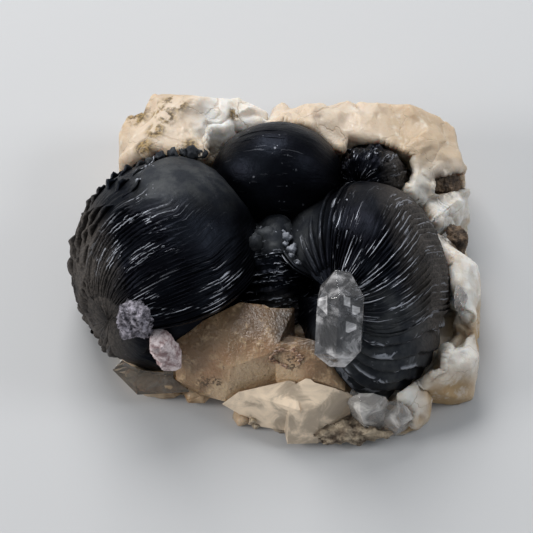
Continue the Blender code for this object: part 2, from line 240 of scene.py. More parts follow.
# %% [markdown]
# ## The finish of the plates
#
# The plates look like dark steel with a blue cast. Their faces are satin. The light that their broken
# edges catch is painted into their colour as short bright strokes, a painted highlight, and the rims
# that look outwards are brownish and dull. The mesh of a rosette carries its own measures, so the
# finish can follow the plates: `around` and `polar` are the longitude and the angle from the pole in
# degrees, `edge` is near 1 on a plate's edge and 2 on knobs that carry the painted highlight all over,
# `face` is 1 on a smooth face, `pale` where a grey sheen is painted and the finish is duller, `rim`
# where it is brown, and `shine` says how bright the painted highlights on the edges are. Fine plates
# are drawn as a sawtooth of the longitude that a noise bends, so that they run together and part again.


# %% Finish: magnetite
def new_finish(name, **constants):
    """A material, its shader node, and the Object coordinates to build on."""
    material = bpy.data.materials.new(name)
    material.use_nodes = True
    shader = material.node_tree.nodes["Principled BSDF"]
    for socket, value in constants.items():
        shader.inputs[socket.replace("_", " ")].default_value = value
    return material, shader, Flow(material.node_tree).make("ShaderNodeTexCoord", out=3)


def connect(flow, shader, name):
    flow.tree.links.new(flow.socket, shader.inputs[name])


def bump(height, depth, strength):
    values = {"Height": height, "Distance": depth, "Strength": strength}
    return height.make("ShaderNodeBump", {}, values)


def measure(flow, name):
    return flow.make("ShaderNodeAttribute", {"attribute_name": name}, out=2)


def lanes(around, polar, scale_around, scale_polar, detail, seed=0.0):
    """Noise stretched along the plates."""
    lane = {0: around * scale_around, 1: polar * scale_polar, 2: seed}
    return around.make("ShaderNodeCombineXYZ", {}, lane).speckle(1.0, detail)


def magnetite_finish():
    material, shader, at = new_finish("magnetite_plates", Specular_IOR_Level=0.30)
    around, polar, edge, face, rim, shine, pale = (
        measure(at, name) for name in ("around", "polar", "edge", "face", "rim", "shine", "pale")
    )
    clouds = at.speckle(150.0, 3.0)
    grains = at.speckle(2600.0, 3.0, 0.6)

    # The strokes are painted highlights: the light that broken plate edges catch, drawn in patches along the
    # plates.
    bending = lanes(around, polar, 0.10, 0.030, 2.0)
    shaking = lanes(around, polar, 0.25, 0.30, 3.0, 4.0)
    fine = (around * 0.34 + bending * 5.0 + shaking * 0.7).math("FRACT")
    broad = (around * 0.12 + bending * 2.2 + shaking * 0.4).math("FRACT")
    lined = 1.0 - face * 0.92
    patches = lanes(around, polar, 0.075, 0.030, 1.0, 9.0)
    pieces = lanes(around, polar, 0.50, 0.050, 3.0, 13.0)
    lively = shine * 0.10
    here = (patches + lively).between(0.54, 0.60) * (pieces + lively * 0.6).between(0.54, 0.58)
    drawn = broad.between(0.82, 0.92) * here
    faint = fine.between(0.80, 0.95) * patches.between(0.46, 0.60) * pieces.between(0.46, 0.60) * 0.20
    sharp = edge.between(0.88, 0.98) * here
    painted_glint = (drawn.math("MAXIMUM", faint) * lined).math("MAXIMUM", sharp)
    # Specks are painted sparkles, and knobs and ridges with `edge` near 2 get the painted highlight all
    # over, in grains.
    specks = at.speckle(1300.0, 1.0).between(0.71, 0.75) * patches.between(0.50, 0.60)
    painted_glint = painted_glint.math("MAXIMUM", specks * 0.7) * shine * (1.0 - rim * 0.6)
    painted_glint = painted_glint.math("MAXIMUM", edge.between(1.4, 1.6) * grains.between(0.35, 0.65) * 0.5)

    steel = clouds.between(0.35, 0.68).mix(rgb(0.0031, 0.0035, 0.0060), rgb(0.0082, 0.0100, 0.0145))
    # Where `pale` says, the plates turn a lighter grey: partly a painted sheen where faces turn to the
    # light, and partly a duller finish.
    mottle = at.speckle(420.0, 4.0, 0.6)
    grey_sheen = mottle.between(0.35, 0.68).mix(rgb(0.017, 0.020, 0.026), rgb(0.050, 0.053, 0.056))
    steel = pale.mix(steel, grey_sheen)
    dull = grains.between(0.3, 0.7).mix(rgb(0.022, 0.019, 0.017), rgb(0.080, 0.068, 0.060))
    body = (rim * clouds.between(0.20, 0.50)).mix(steel, dull)
    # The pale grey-blue is the colour of the painted highlights.
    colour = painted_glint.mix(body, rgb(0.50, 0.52, 0.58))
    connect(colour, shader, "Base Color")
    connect(0.92 - rim * 0.84 - painted_glint * 0.50 - pale * 0.45, shader, "Metallic")
    connect(0.38 + grains * 0.16 + rim * 0.26 + pale * 0.14, shader, "Roughness")
    ridges = (fine * 0.3 + broad * 0.7) * lined * patches.between(0.38, 0.60)
    knobs = grains * (0.30 + rim * 0.9) + shaking * 0.4
    connect(bump(ridges + knobs, 0.00012, 0.8), shader, "Normal")
    return material


magnetite = magnetite_finish()
print("finish:", magnetite.name)

# %% [markdown]
# ## The rule of a rosette
#
# A rosette is a ball of plates that all start at one point of its surface, the pole. Seen as a
# globe, every plate stands on a meridian: it runs from the pole over the ball, and bends sideways
# on its way as the blades of a pinwheel do. So a place on a rosette has three measures: its angle
# from the pole, its longitude round the pole, and its share of the full radius. One class keeps
# that rule for the solid core, and one geometry tree uses the same rule for the plates.

# %% Rosettes
BEND_FROM, BEND_TO = 8.0, 78.0


class Rosette:
    """A ball of plates: its ellipsoid, its pole, how its plates bend, and where its foot is cut."""

    def __init__(self, centre, semi, pole, zero, foot, dimple, bend):
        self.centre, self.semi = np.array(centre), np.array(semi)
        self.pole = Vector(pole).normalized()
        self.east = (Vector(zero) - self.pole * self.pole.dot(Vector(zero))).normalized()
        self.north = self.pole.cross(self.east)
        self.foot, self.dimple, self.bend = foot, dimple, bend

    def turn(self, longitude):
        places = [knot[0] for knot in self.bend]
        turns = [knot[1] for knot in self.bend]
        return np.interp(longitude, places, turns, period=360.0)

    def surface(self, longitude, polar, level):
        """Points in millimetres, for arrays of longitude and angle in degrees and a share of size."""
        bent = np.clip((polar - BEND_FROM) / (BEND_TO - BEND_FROM), 0.0, 1.0)
        lam = np.radians(longitude + self.turn(longitude) * bent)
        beta = np.radians(polar)
        depth, width = self.dimple
        size = level * (1.0 - depth * np.exp(-((polar / width) ** 2)))
        unit = np.cos(beta)[..., None] * np.array(self.pole)
        unit = unit + (np.sin(beta) * np.cos(lam))[..., None] * np.array(self.east)
        unit = unit + (np.sin(beta) * np.sin(lam))[..., None] * np.array(self.north)
        return self.centre + size[..., None] * self.semi * unit


LEFT = Rosette(
    (-15.4, 2.65, 8.0), (14.6, 17.0, 15.5), (-0.60, -0.74, 0.30), (1, 0, 0), 2.0, (0.07, 18.0),
    [(0, 5), (37, -12), (121, -50), (155, -62), (190, -52), (262, 0), (350, 0)],
)
RIGHT = Rosette(
    (13.8, -0.9, 6.5), (12.6, 16.6, 16.0), (-0.52, -0.44, 0.733), (1, 0, 0), 2.0, (0.18, 26.0),
    [(-114, 40), (-40, 42), (20, 32), (60, 16), (90, 3), (130, 0), (180, 10)],
)
BACK = Rosette(
    (0.8, 15.4, 9.5), (10.3, 8.6, 12.0), (0.96, -0.12, 0.1), (0, 0, 1), 5.0, (0.05, 20.0),
    [(0, 0), (180, 0)],
)
CENTRE_GROUP = Rosette(
    (0.5, 2.3, 5.0), (7.5, 9.5, 10.5), (0.96, 0.0, 0.2), (0, 0, 1), 2.0, (0.05, 20.0),
    [(0, 0), (180, 0)],
)
CORNER = Rosette(
    (14.6, 15.8, 10.0), (6.0, 5.6, 7.6), (-0.5, -0.6, 0.6), (1, 0, 0), 5.0, (0.15, 30.0),
    [(0, 12), (180, 12)],
)
print("rosettes described: 5")

# %% [markdown]
# ## The plates as a geometry tree
#
# Every plate is the same thing turned a little further: a thin wedge, thick at its root and sharp
# at its edge. So one strip of mesh is made once, put on a row of points with one point for each
# plate, and made real. A formula then carries each corner to its place: its number in the row gives
# the longitude, its place along the strip gives the angle from the pole, and its place across gives
# the level and the side. Noise with a fixed seed makes the edges ragged, as broken plates are.


# %% Inputs of the plates' tree
SOCKETS = {int: "NodeSocketInt", float: "NodeSocketFloat", tuple: "NodeSocketVector"}
PLATE_INPUTS = {
    "Plates": 20, "Steps along": 72, "Steps across": 10,
    "First longitude": 0.0, "Last longitude": 90.0, "First bend": 0.0, "Last bend": 0.0,
    "Polar from": 5.0, "Polar to": 150.0, "Reach": 1.0, "Root": 0.86, "Thickness": 0.02, "Lean": 4.0,
    "Ragged": 0.02, "Notched": 0.0, "Wavy": 1.0, "Uneven": 0.02,
    "Dimple depth": 0.0, "Dimple width": 20.0,
    "Centre": (0, 0, 0), "Semi": (1, 1, 1), "Pole": (0, 0, 1), "East": (1, 0, 0), "North": (0, 1, 0),
    "Foot": 0.0, "Seed": 0.0,
}


def socket_inputs(tree, names):
    """Adds the tree's named inputs, and gives a Flow for each one."""
    for name, default in names.items():
        kind = SOCKETS[type(default)]
        item = tree.interface.new_socket(name, in_out="INPUT", socket_type=kind)
        item.default_value = default
    group = tree.nodes.new("NodeGroupInput")
    return {name: Flow(tree, group.outputs[name]) for name in names}


print("inputs of the plates' tree:", len(PLATE_INPUTS))


# %% Strips, and the level of a plate's edge
def stored(geometry, name, value):
    """The geometry with a measure stored on its corners."""
    settings = {"data_type": "FLOAT", "domain": "POINT"}
    values = {"Geometry": geometry, "Name": name, "Value": value}
    return geometry.make("GeometryNodeStoreNamedAttribute", settings, values)


def shake(given, along, across, detail=2.0):
    """Noise about 0 that runs along a plate and differs from plate to plate."""
    spot = {0: along, 1: across, 2: given["Seed"]}
    return along.make("ShaderNodeCombineXYZ", {}, spot).speckle(1.0, detail, 0.5) - 0.5


def strips(given):
    """One strip of mesh for each plate, all in one place, each with its number."""
    count = given["Plates"]
    sizes = {"Size X": 1.0, "Size Y": 1.0}
    sizes.update({"Vertices X": given["Steps across"], "Vertices Y": given["Steps along"]})
    strip = count.make("GeometryNodeMeshGrid", {}, sizes)
    row = count.make("GeometryNodeMeshLine", {}, {"Count": count, "Offset": (0, 0, 0)})
    numbered = stored(row, "plate", count.make("GeometryNodeInputIndex"))
    copies = count.make("GeometryNodeInstanceOnPoints", {}, {"Points": numbered, "Instance": strip})
    return count.make("GeometryNodeRealizeInstances", {}, {0: copies})


def edge_level(given, number, along, ends):
    """The level of a plate's edge: its reach, then long waves, chips, fine teeth and notches."""
    lone = number * 2.31
    size = 1.0 + shake(given, lone, 2.0) * given["Uneven"] * 2.0
    slow = shake(given, along * 4.0, lone) * given["Uneven"] * 3.0
    coarse = shake(given, along * 16.0, lone, 1.0)
    fine = shake(given, along * 60.0, lone * 1.7, 1.0)
    chips = (coarse * 7.0).math("FLOOR") / 7.0
    shared = shake(given, along * 11.0, number * 0.16)
    notches = (shared * 11.0).math("FLOOR") / 11.0 * given["Notched"]
    level = given["Reach"] * size + slow + (chips * 1.1 + fine * 0.5) * given["Ragged"] + notches
    return given["Root"] + (level - given["Root"]) * ends ** 0.5


print("parts of the plates' tree ready")


# %% Tree of the plates
def plate_tree():
    tree = bpy.data.node_groups.new("rosette_plates", "GeometryNodeTree")
    tree.interface.new_socket("Geometry", in_out="OUTPUT", socket_type="NodeSocketGeometry")
    given = socket_inputs(tree, PLATE_INPUTS)
    flow = Flow(tree)
    real = strips(given)

    number = flow.make("GeometryNodeInputNamedAttribute", {"data_type": "FLOAT"}, {"Name": "plate"})
    spot = flow.make("GeometryNodeInputPosition")
    across, along = spot.part(0) + 0.5, spot.part(1) + 0.5
    share = number / (given["Plates"] - 1.0).math("MAXIMUM", 1.0)
    side = (across - 0.5).math("SIGN")
    outward = 1.0 - (across * 2.0 - 1.0).math("ABSOLUTE")
    outward = 1.0 - (1.0 - outward) ** 1.5

    first, last = given["First longitude"], given["Last longitude"]
    uneven_step = shake(given, number * 3.7, 5.1) * 0.9
    spacing = (last - first) / given["Plates"]
    longitude = first + (last - first) * share + uneven_step * spacing
    polar_from = given["Polar from"]
    reach_to = given["Polar to"] * (1.0 + shake(given, number * 1.3, 9.0) * 0.2)
    polar = polar_from + (reach_to - polar_from) * along
    bent = ((polar - BEND_FROM) / (BEND_TO - BEND_FROM)).math("MAXIMUM", 0.0).math("MINIMUM", 1.0)
    bend = given["First bend"] + (given["Last bend"] - given["First bend"]) * share

    ends = ((along * 14.0).math("MINIMUM", 1.0)) * (((1.0 - along) * 8.0).math("MINIMUM", 1.0))
    edge = edge_level(given, number, along, ends)
    level = given["Root"] + (edge - given["Root"]) * outward

    ripple = shake(given, along * 22.0, number * 2.31) * given["Wavy"]
    leaning = given["Lean"] * (1.0 - outward)
    angle = (longitude + bend * bent + ripple * outward - leaning) * (math.pi / 180.0)
    beta = polar * (math.pi / 180.0)

    ring = beta.math("SINE")
    right = given["East"].scaled(ring * angle.math("COSINE"))
    ahead = given["North"].scaled(ring * angle.math("SINE"))
    unit = given["Pole"].scaled(beta.math("COSINE")).vector("ADD", right.vector("ADD", ahead))
    hollow = (-((polar / given["Dimple width"]) ** 2.0)).math("EXPONENT")
    level = level * (1.0 - given["Dimple depth"] * hollow)
    wall = given["Thickness"] * (1.0 - outward ** 3.0) ** 0.6 * side * (0.25 + ends * 0.75)
    along_east = given["East"].scaled(-angle.math("SINE"))
    along_north = given["North"].scaled(angle.math("COSINE"))
    across_plate = along_east.vector("ADD", along_north).scaled(wall)
    grown = unit.scaled(level).vector("ADD", across_plate).vector("MULTIPLY", given["Semi"])
    point = grown.vector("ADD", given["Centre"])
    over_foot = {0: point.part(0), 1: point.part(1), 2: point.part(2).math("MAXIMUM", given["Foot"])}
    point = flow.make("ShaderNodeCombineXYZ", {}, over_foot)

    marked = real
    around = longitude + ripple + (across - 0.5) * spacing
    for name, value in (("edge", outward * ends), ("around", around), ("polar", polar)):
        marked = stored(marked, name, value)
    moved = flow.make("GeometryNodeSetPosition", {}, {"Geometry": marked, "Position": point})
    closed = flow.make("GeometryNodeMergeByDistance", {}, {"Geometry": moved, "Distance": 1e-6})
    final = flow.make("GeometryNodeRealizeInstances", {}, {0: closed})
    painted = flow.make("GeometryNodeSetMaterial", {}, {"Geometry": final, "Material": magnetite})
    end = tree.nodes.new("NodeGroupOutput")
    tree.links.new(painted.socket, end.inputs[0])
    return tree


plates = plate_tree()
print("plate tree:", len(plates.nodes), "nodes,", len(PLATE_INPUTS), "inputs")


# %% One fan of plates
def plain_mesh(carrier):
    """The finished mesh of an object with modifiers or a curve. The object itself goes."""
    graph = bpy.context.evaluated_depsgraph_get()
    mesh = bpy.data.meshes.new_from_object(carrier.evaluated_get(graph))
    bpy.data.objects.remove(carrier)
    return mesh


def fan(rosette, seed, count, longitudes, polars, **choices):
    """Runs the tree for one sector of a rosette, and gives a plain mesh in metres."""
    values = {"Plates": count, **choices}
    values["First longitude"], values["Last longitude"] = longitudes
    values["Polar from"], values["Polar to"] = polars
    values["First bend"], values["Last bend"] = (float(rosette.turn(lon)) for lon in longitudes)
    values["Dimple depth"], values["Dimple width"] = rosette.dimple
    values["Centre"] = tuple(place(rosette.centre))
    values["Semi"] = tuple(rosette.semi * MM)
    values["Pole"], values["East"] = tuple(rosette.pole), tuple(rosette.east)
    values["North"], values["Foot"] = tuple(rosette.north), rosette.foot * MM
    values["Seed"] = seed

    carrier = new_object("fan", bpy.data.meshes.new("fan"))
    modifier = carrier.modifiers.new("plates", "NODES")
    modifier.node_group = plates
    for item in plates.interface.items_tree:
        if item.in_out == "INPUT" and item.name in values:
            modifier[item.identifier] = values[item.name]
    return plain_mesh(carrier)


print("fans take the tree's inputs by name")

# %% [markdown]
# ## The core of a rosette
#
# Between its plates a rosette is solid. The core is the same ball at a lower level, ribbed by low
# plates that a sawtooth makes. Where a rule says so it comes up to the surface and is smooth: there
# one broad plate face shows.


# %% Steps and noise for arrays
def step(value, low, high):
    """0 below one limit and 1 above the other, with a smooth step between them, for arrays."""
    share = np.clip((value - low) / (high - low), 0.0, 1.0)
    return share * share * (3.0 - 2.0 * share)


def field(u, v, seed):
    """Fractal noise of two arrays."""
    spots = zip(np.ravel(u), np.ravel(v))
    values = [noise.fractal(Vector((a, b, seed)), 1.0, 2.0, 2) for a, b in spots]
    return np.array(values).reshape(np.shape(u))


RIB_SPACING = 6.5  # degrees of longitude from one low plate to the next


def ribbed(longitude, polar, seed):
    """A sawtooth across the longitude, from 0 to 1, with one tooth for each low plate."""
    bending = field(longitude * 0.05, polar * 0.02, seed) * 1.3
    return (longitude / RIB_SPACING + bending) % 1.0


def uneven(points, scale, seed, octaves):
    """Fractal noise of places in millimetres."""
    shift = Vector((seed, 0, 0))
    spots = [Vector(p) * scale + shift for p in points.reshape(-1, 3)]
    values = [noise.fractal(spot, 1.0, 2.0, octaves) for spot in spots]
    return np.array(values).reshape(points.shape[:-1])


print("helpers for arrays ready")


# %% Core mesh
def store(mesh, name, values):
    """Stores a measure for the finish, one value for each corner or one for them all."""
    values = np.broadcast_to(values, len(mesh.vertices)).astype(np.float32)
    mesh.attributes.new(name, "FLOAT", "POINT").data.foreach_set("value", values)


def core_mesh(rosette, rule, seed, ribs=0.008, rough=0.006, swell=0.016, across=420, along=88):
    """A closed ball, cut at its foot, whose rule gives level and smoothness for every place."""
    longitude = np.linspace(-180.0, 180.0, across, endpoint=False)
    polar = np.linspace(1.0, 179.0, along)
    lon, pol = np.meshgrid(longitude, polar, indexing="ij")
    level, face = rule(lon, pol)
    level = level + ribs * (1.0 - face) * (ribbed(lon, pol, seed) - 0.5)
    points = rosette.surface(lon, pol, level)
    level = level + rough * uneven(points, 0.35, seed, 4) + swell * uneven(points, 0.12, seed, 2)
    points = rosette.surface(lon, pol, level).reshape(-1, 3)
    points[:, 2] = np.maximum(points[:, 2], rosette.foot)
    faces = []
    for i in range(across):
        j = (i + 1) % across
        for k in range(along - 1):
            faces.append((i * along + k, i * along + k + 1, j * along + k + 1, j * along + k))
    faces.append(tuple(i * along for i in range(across)))
    faces.append(tuple(i * along + along - 1 for i in reversed(range(across))))
    mesh = bpy.data.meshes.new("core")
    mesh.from_pydata(place(points).tolist(), [], faces)
    mesh.materials.append(magnetite)
    for name, values in (("around", lon), ("polar", pol), ("face", face)):
        store(mesh, name, values.ravel())
    return mesh


print("rule for the core ready")


# %% Joining, measures by place, knobs and raised lines
def join(name, meshes):
    """Several meshes in one new object at the origin, with its faces turned outwards."""
    bm = bmesh.new()
    for mesh in meshes:
        bm.from_mesh(mesh)
    bmesh.ops.remove_doubles(bm, verts=bm.verts, dist=1e-7)
    bmesh.ops.dissolve_degenerate(bm, edges=bm.edges, dist=1e-7)
    bmesh.ops.recalc_face_normals(bm, faces=bm.faces)
    for face in bm.faces:
        face.smooth = True
    joined = bpy.data.meshes.new(name)
    bm.to_mesh(joined)
    bm.free()
    for material in meshes[0].materials:
        joined.materials.append(material)
    return new_object(name, joined)


def corners(mesh, kind="co"):
    """The places of a mesh's corners, one to a row, or their normals."""
    values = np.empty(len(mesh.vertices) * 3)
    mesh.vertices.foreach_get(kind, values)
    return values.reshape(-1, 3)


def paint(obj, **rules):
    """Stores measures from 0 to 1 that depend on where a corner lies, in millimetres."""
    spots = corners(obj.data) / MM + MIDDLE
    for name, rule in rules.items():
        store(obj.data, name, np.clip(rule(spots), 0.0, 1.0))


def near(spots, start, radius, end):
    """1 all along a line, falling off softly over a distance in millimetres."""
    start = np.array(start, float)
    along = np.array(end, float) - start
    share = np.clip((spots - start) @ along / (along @ along), 0.0, 1.0)
    gap = np.linalg.norm(spots - start - share[:, None] * along, axis=1)
    return np.exp(-((gap / radius) ** 2))


def lumps(places, radii, **measures):
    """Small angular knobs, each with the same measures for the finish."""
    bm = bmesh.new()
    for centre, radius in zip(places, radii):
        made = bmesh.ops.create_icosphere(bm, subdivisions=3, radius=1.0)["verts"]
        for vert in made:
            cell = noise.cell(vert.co * 1.4 + Vector(centre)) - 0.5
            size = radius * (1.0 + 0.35 * noise.noise(vert.co * 1.3 + Vector(centre)) + 0.25 * cell)
            vert.co = Vector(place(vert.co * size + Vector(centre)))
    mesh = bpy.data.meshes.new("lumps")
    bm.to_mesh(mesh)
    bm.free()
    for name, value in measures.items():
        store(mesh, name, value)
    return mesh


def ridge(points, radius, edge):
    """A raised line, round in section, through places in metres, and its measure `edge`."""
    curve = bpy.data.curves.new("ridge", "CURVE")
    curve.dimensions = "3D"
    curve.bevel_depth = radius * MM
    curve.bevel_resolution = 3
    curve.use_fill_caps = True
    line = curve.splines.new("POLY")
    line.points.add(len(points) - 1)
    for target, point in zip(line.points, points):
        target.co = (*point, 1.0)
        target.radius = 0.9 + 0.9 * noise.noise(Vector(point) * 1500.0)
    mesh = plain_mesh(new_object("ridge", curve))
    store(mesh, "edge", edge)
    return mesh


def finish_piece(obj, node):
    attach(obj, "root")
    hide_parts(node)
    print(node, "faces:", len(obj.data.polygons))


print("helpers for the pieces ready")

# %% [markdown]
# ## Left rosette
#
# It is the largest dome. Its lower plates run to the right in long shallow arcs, those on its left
# shoulder are wavy and broken, and its top right is one smooth plate face with a round outline. The
# rim towards the left is brownish and ragged.


# %% Left rosette: its rule and its measures
def back_and_up(p):
    """How far back and up a place lies, in millimetres, along a slope as steep as the photograph."""
    return p[:, 1] * math.sin(ELEVATION) + p[:, 2] * math.cos(ELEVATION)


def left_rule(lon, polar):
    """The smooth face begins at an angle from the pole that depends on the longitude."""
    places = [-40, -30, 8, 16, 60, 70, 120, 152, 160, 258, 310]
    shares = [0.93, 0.80, 0.80, 0.972, 0.972, 0.972, 0.965, 0.950, 0.925, 0.925, 0.92]
    base = np.interp(lon, places, shares, period=360.0)
    near_pole = 1.0 - step(polar, 26.0, 36.0)
    base = base + (0.955 - base) * near_pole * step(-lon, -20, -10) * step(lon, -100, -90)
    begins = np.interp(lon, [60, 78, 100, 124, 146, 160, 172], [130, 96, 84, 80, 70, 78, 100])
    soft = np.interp(lon, [60, 120, 146, 160], [24, 22, 4, 4])
    face = step(polar, begins - soft, begins + soft) * step(lon, 50, 72) * (1.0 - step(lon, 164, 172))
    front = 0.85 * (1.0 - step(lon, 0, 12)) * step(lon, -104, -90)
    return base + (0.982 - base) * face, np.maximum(face, front)


def left_shine(p):
    """Painted highlights on the left shoulder and in the long arcs at the bottom, and few elsewhere."""
    shoulder = near(p, (-23.0, -3.0, 19.4), 4.2, (-17.0, 2.5, 23.4))
    top = near(p, (-18.7, 8.4, 22.2), 2.6, (-16.6, 15.1, 18.4))
    arcs = near(p, (-18.0, -9.5, 18.5), 1.8, (-4.9, -3.6, 17.1))
    arcs = arcs + near(p, (-17.8, -11.0, 16.8), 1.4, (-7.4, -8.2, 16.4))
    return 0.05 + 0.16 * step(-back_and_up(p), -6.0, 0.0) + shoulder + 0.7 * top + arcs


def left_rim(p):
    """Brown towards the left, and on the knobs at the top."""
    return (-22.4 - p[:, 0] - 0.24 * (p[:, 1] - 2.0)) / 3.6 + step(p[:, 1], 14.6, 15.6)


def left_pale(p):
    # Painted grey sheen on the top of the dome, where it turns to the light.
    return step(back_and_up(p), 12.5, 20.0) * step(p[:, 0], -22.0, -18.0)


print("rule and measures of the left rosette ready")

# %% Left rosette: its plates, core and knobs
left_fans = [
    fan(
        LEFT, 1.0, 17, (14.0, 68.0), (9.0, 118.0), Reach=0.982, Root=0.90, Thickness=0.010, Lean=5.0,
        Ragged=0.006, Wavy=0.6, Uneven=0.012,
    ),
    fan(
        LEFT, 2.0, 18, (68.0, 150.0), (12.0, 72.0), Reach=0.984, Root=0.90, Thickness=0.010, Lean=4.0,
        Ragged=0.014, Wavy=4.8, Uneven=0.018,
    ),
    fan(
        LEFT, 3.0, 15, (152.0, 262.0), (14.0, 125.0), Reach=0.958, Root=0.87, Thickness=0.045, Lean=-6.0,
        Ragged=0.040, Wavy=5.0, Uneven=0.014, Notched=0.30,
    ),
]
KNOBS = [(-16.2, 15.8, 17.2), (-14.4, 16.4, 17.0), (-13.0, 16.9, 16.4)]
KNOBS += [(-11.6, 16.9, 16.4), (-10.2, 17.2, 15.6), (-17.8, 15.2, 16.6)]
KNOB_RADII = [0.8, 0.9, 0.7, 1.0, 0.8, 0.7]
top_knobs = lumps(KNOBS, KNOB_RADII)
left_rosette = join("left_rosette_plates", [core_mesh(LEFT, left_rule, 3.0)] + left_fans + [top_knobs])
paint(left_rosette, rim=left_rim, shine=left_shine, pale=left_pale)
finish_piece(left_rosette, "left_rosette")

# %% [markdown]
# ## Right rosette
#
# Its plates spread round the standing crystal like the ribs of a shell and turn to the left as they
# go outwards. The ribs on its left are few and soft, the lowest plates are broad and dull with a
# painted grey sheen, and the outer rim is brown and rough. A chain of small knobs on its left edge
# carries a painted highlight all over.


# %% Right rosette: its rule and its measures
def right_rule(lon, polar):
    """The face is smooth, and the lobe on the left rises towards its thin edge."""
    places = [-112, -52, -46, 96, 104, 148, 151, 244]
    base = np.interp(lon, places, [0.86, 0.88, 0.96, 0.96, 0.95, 0.95, 0.70, 0.70])
    face = 0.9 * step(polar, 40, 56) * step(lon, 20, 44) * (1.0 - step(lon, 90, 100))
    lobe = step(lon, 104, 150) * (1.0 - step(lon, 150, 151))
    rise = 0.19 * lobe * step(polar, 30, 64) * (1.0 - step(polar, 104, 130))
    smooth = 0.85 * step(lon, 98, 104) * (1.0 - step(lon, 150, 156)) * step(polar, 24, 40)
    smooth = np.maximum(face, smooth)
    return base + (0.984 - base) * face + rise, smooth


def right_rim(p):
    """Brown on the right, and on the thick edge beside the standing crystal."""
    return (p[:, 0] + 0.25 * p[:, 1] - 16.0) / 5.0 + near(p, (3.4, -1.0, 14.8), 1.3, (6.6, -5.6, 14.6))


def right_shine(p):
    """Painted highlights round the standing crystal, fewer on the broad ribs and on the lowest plates."""
    lobe_edge = near(p, (1.6, 8.0, 14.5), 1.6, (2.6, 1.0, 14.8))
    low_plates = step(-p[:, 1], 9.0, 12.5)
    return 0.85 - 0.5 * step(-p[:, 0], -10.0, -8.0) - 0.28 * low_plates + lobe_edge


def right_pale(p):
    # Painted grey sheen on the broad lowest plates and on the soft ribs of the left lobe, where they face
    # the light.
    ribs = near(p, (3.6, 2.0, 15.6), 3.2, (3.4, 7.6, 16.2))
    return 1.3 * step(-p[:, 1], 7.0, 10.5) + ribs


print("rule and measures of the right rosette ready")

# %% Right rosette: its plates, core, and its knobs and thin edge with a painted highlight
right_fans = [
    fan(
        RIGHT, 11.0, 7, (-112.0, -50.0), (8.0, 120.0), Reach=0.975, Root=0.80, Thickness=0.045,
        Lean=-18.0, Ragged=0.012, Wavy=4.5, Uneven=0.034, Notched=0.05,
    ),
    fan(
        RIGHT, 12.0, 22, (-50.0, 40.0), (9.0, 122.0), Reach=0.982, Root=0.90, Thickness=0.010, Lean=5.0,
        Ragged=0.012, Wavy=1.6, Uneven=0.020, Notched=0.04,
    ),
    fan(
        RIGHT, 13.0, 10, (40.0, 92.0), (9.0, 42.0), Reach=0.982, Root=0.90, Thickness=0.010, Lean=5.0,
        Ragged=0.010, Wavy=1.2, Uneven=0.014,
    ),
    fan(
        RIGHT, 14.0, 4, (96.0, 132.0), (12.0, 106.0), Reach=1.005, Root=0.84, Thickness=0.055, Lean=-5.0,
        Ragged=0.008, Wavy=0.8, Uneven=0.014,
    ),
    fan(
        RIGHT, 15.0, 2, (147.0, 150.0), (20.0, 122.0), Reach=1.150, Root=0.84, Thickness=0.016, Lean=-3.0,
        Ragged=0.012, Wavy=1.4, Uneven=0.006,
    ),
]
CHAIN = [(1.6, 4.2, 14.9), (2.1, 3.5, 14.9), (1.9, 2.6, 14.6)]
CHAIN += [(2.9, 1.4, 15.0), (2.8, 0.2, 15.0), (3.6, -1.3, 15.7)]
CHAIN_RADII = [0.45, 0.75, 0.5, 0.8, 0.55, 0.65]
# Knobs and ridges with this value carry the painted highlight all over.
GLINT_ALL_OVER = 2.0  # the measure `edge` of knobs and ridges that shine all over
chain = lumps(CHAIN, CHAIN_RADII, edge=GLINT_ALL_OVER)
LIP_STEPS, LIP_LONGITUDE, LIP_RADIUS = 60, 149.8, 0.13
along = np.linspace(48.0, 118.0, LIP_STEPS)
level, _ = right_rule(np.full(LIP_STEPS, LIP_LONGITUDE - 0.2), along)
lip = RIGHT.surface(np.full(LIP_STEPS, LIP_LONGITUDE), along, level + 0.004)
lip = lip[lip[:, 2] > RIGHT.foot + 1.0]
thin_edge = ridge(place(lip), LIP_RADIUS, GLINT_ALL_OVER)
right_core = core_mesh(RIGHT, right_rule, 11.0)
right_rosette = join("right_rosette_plates", [right_core, chain, thin_edge] + right_fans)
paint(right_rosette, rim=right_rim, shine=right_shine, pale=right_pale)
finish_piece(right_rosette, "right_rosette")

# %% [markdown]
# ## Back rosette, centre plates and corner plates
#
# The back dome is smooth and nearly black, with fine level lines. The plates between the two large
# domes stand on edge below smooth dull lobes, and the corner group is a small ragged bunch. The
# same rule, core and fans make all three, with other sizes.


# %% Back rosette
def back_rule(lon, polar):
    return np.full(lon.shape, 0.984), np.full(lon.shape, 0.86)


back_fan = fan(
    BACK, 23.0, 16, (-100.0, 100.0), (12.0, 160.0), Reach=0.982, Root=0.93, Thickness=0.010, Lean=4.0,
    Ragged=0.004, Wavy=0.8, Uneven=0.010,
)
back_rosette = join("back_rosette_plates", [core_mesh(BACK, back_rule, 23.0), back_fan])
paint(back_rosette, rim=lambda p: (p[:, 1] - 20.5) / 3.0, shine=lambda p: 0.30)
finish_piece(back_rosette, "back_rosette")


# %% Centre plates
def centre_rule(lon, polar):
    """Two smooth lobes at the back of the stack, with a dip between them."""
    lobes = step(-lon, -24, 2) * (1.0 - step(-lon, 34, 56))
    dip = 0.09 * np.exp(-(((polar - 99.0) / 8.0) ** 2))
    round_end = 0.12 * step(np.abs(polar - 92.0), 16.0, 40.0)
    return 0.93 + lobes * (0.045 - dip - round_end), 0.95 * lobes


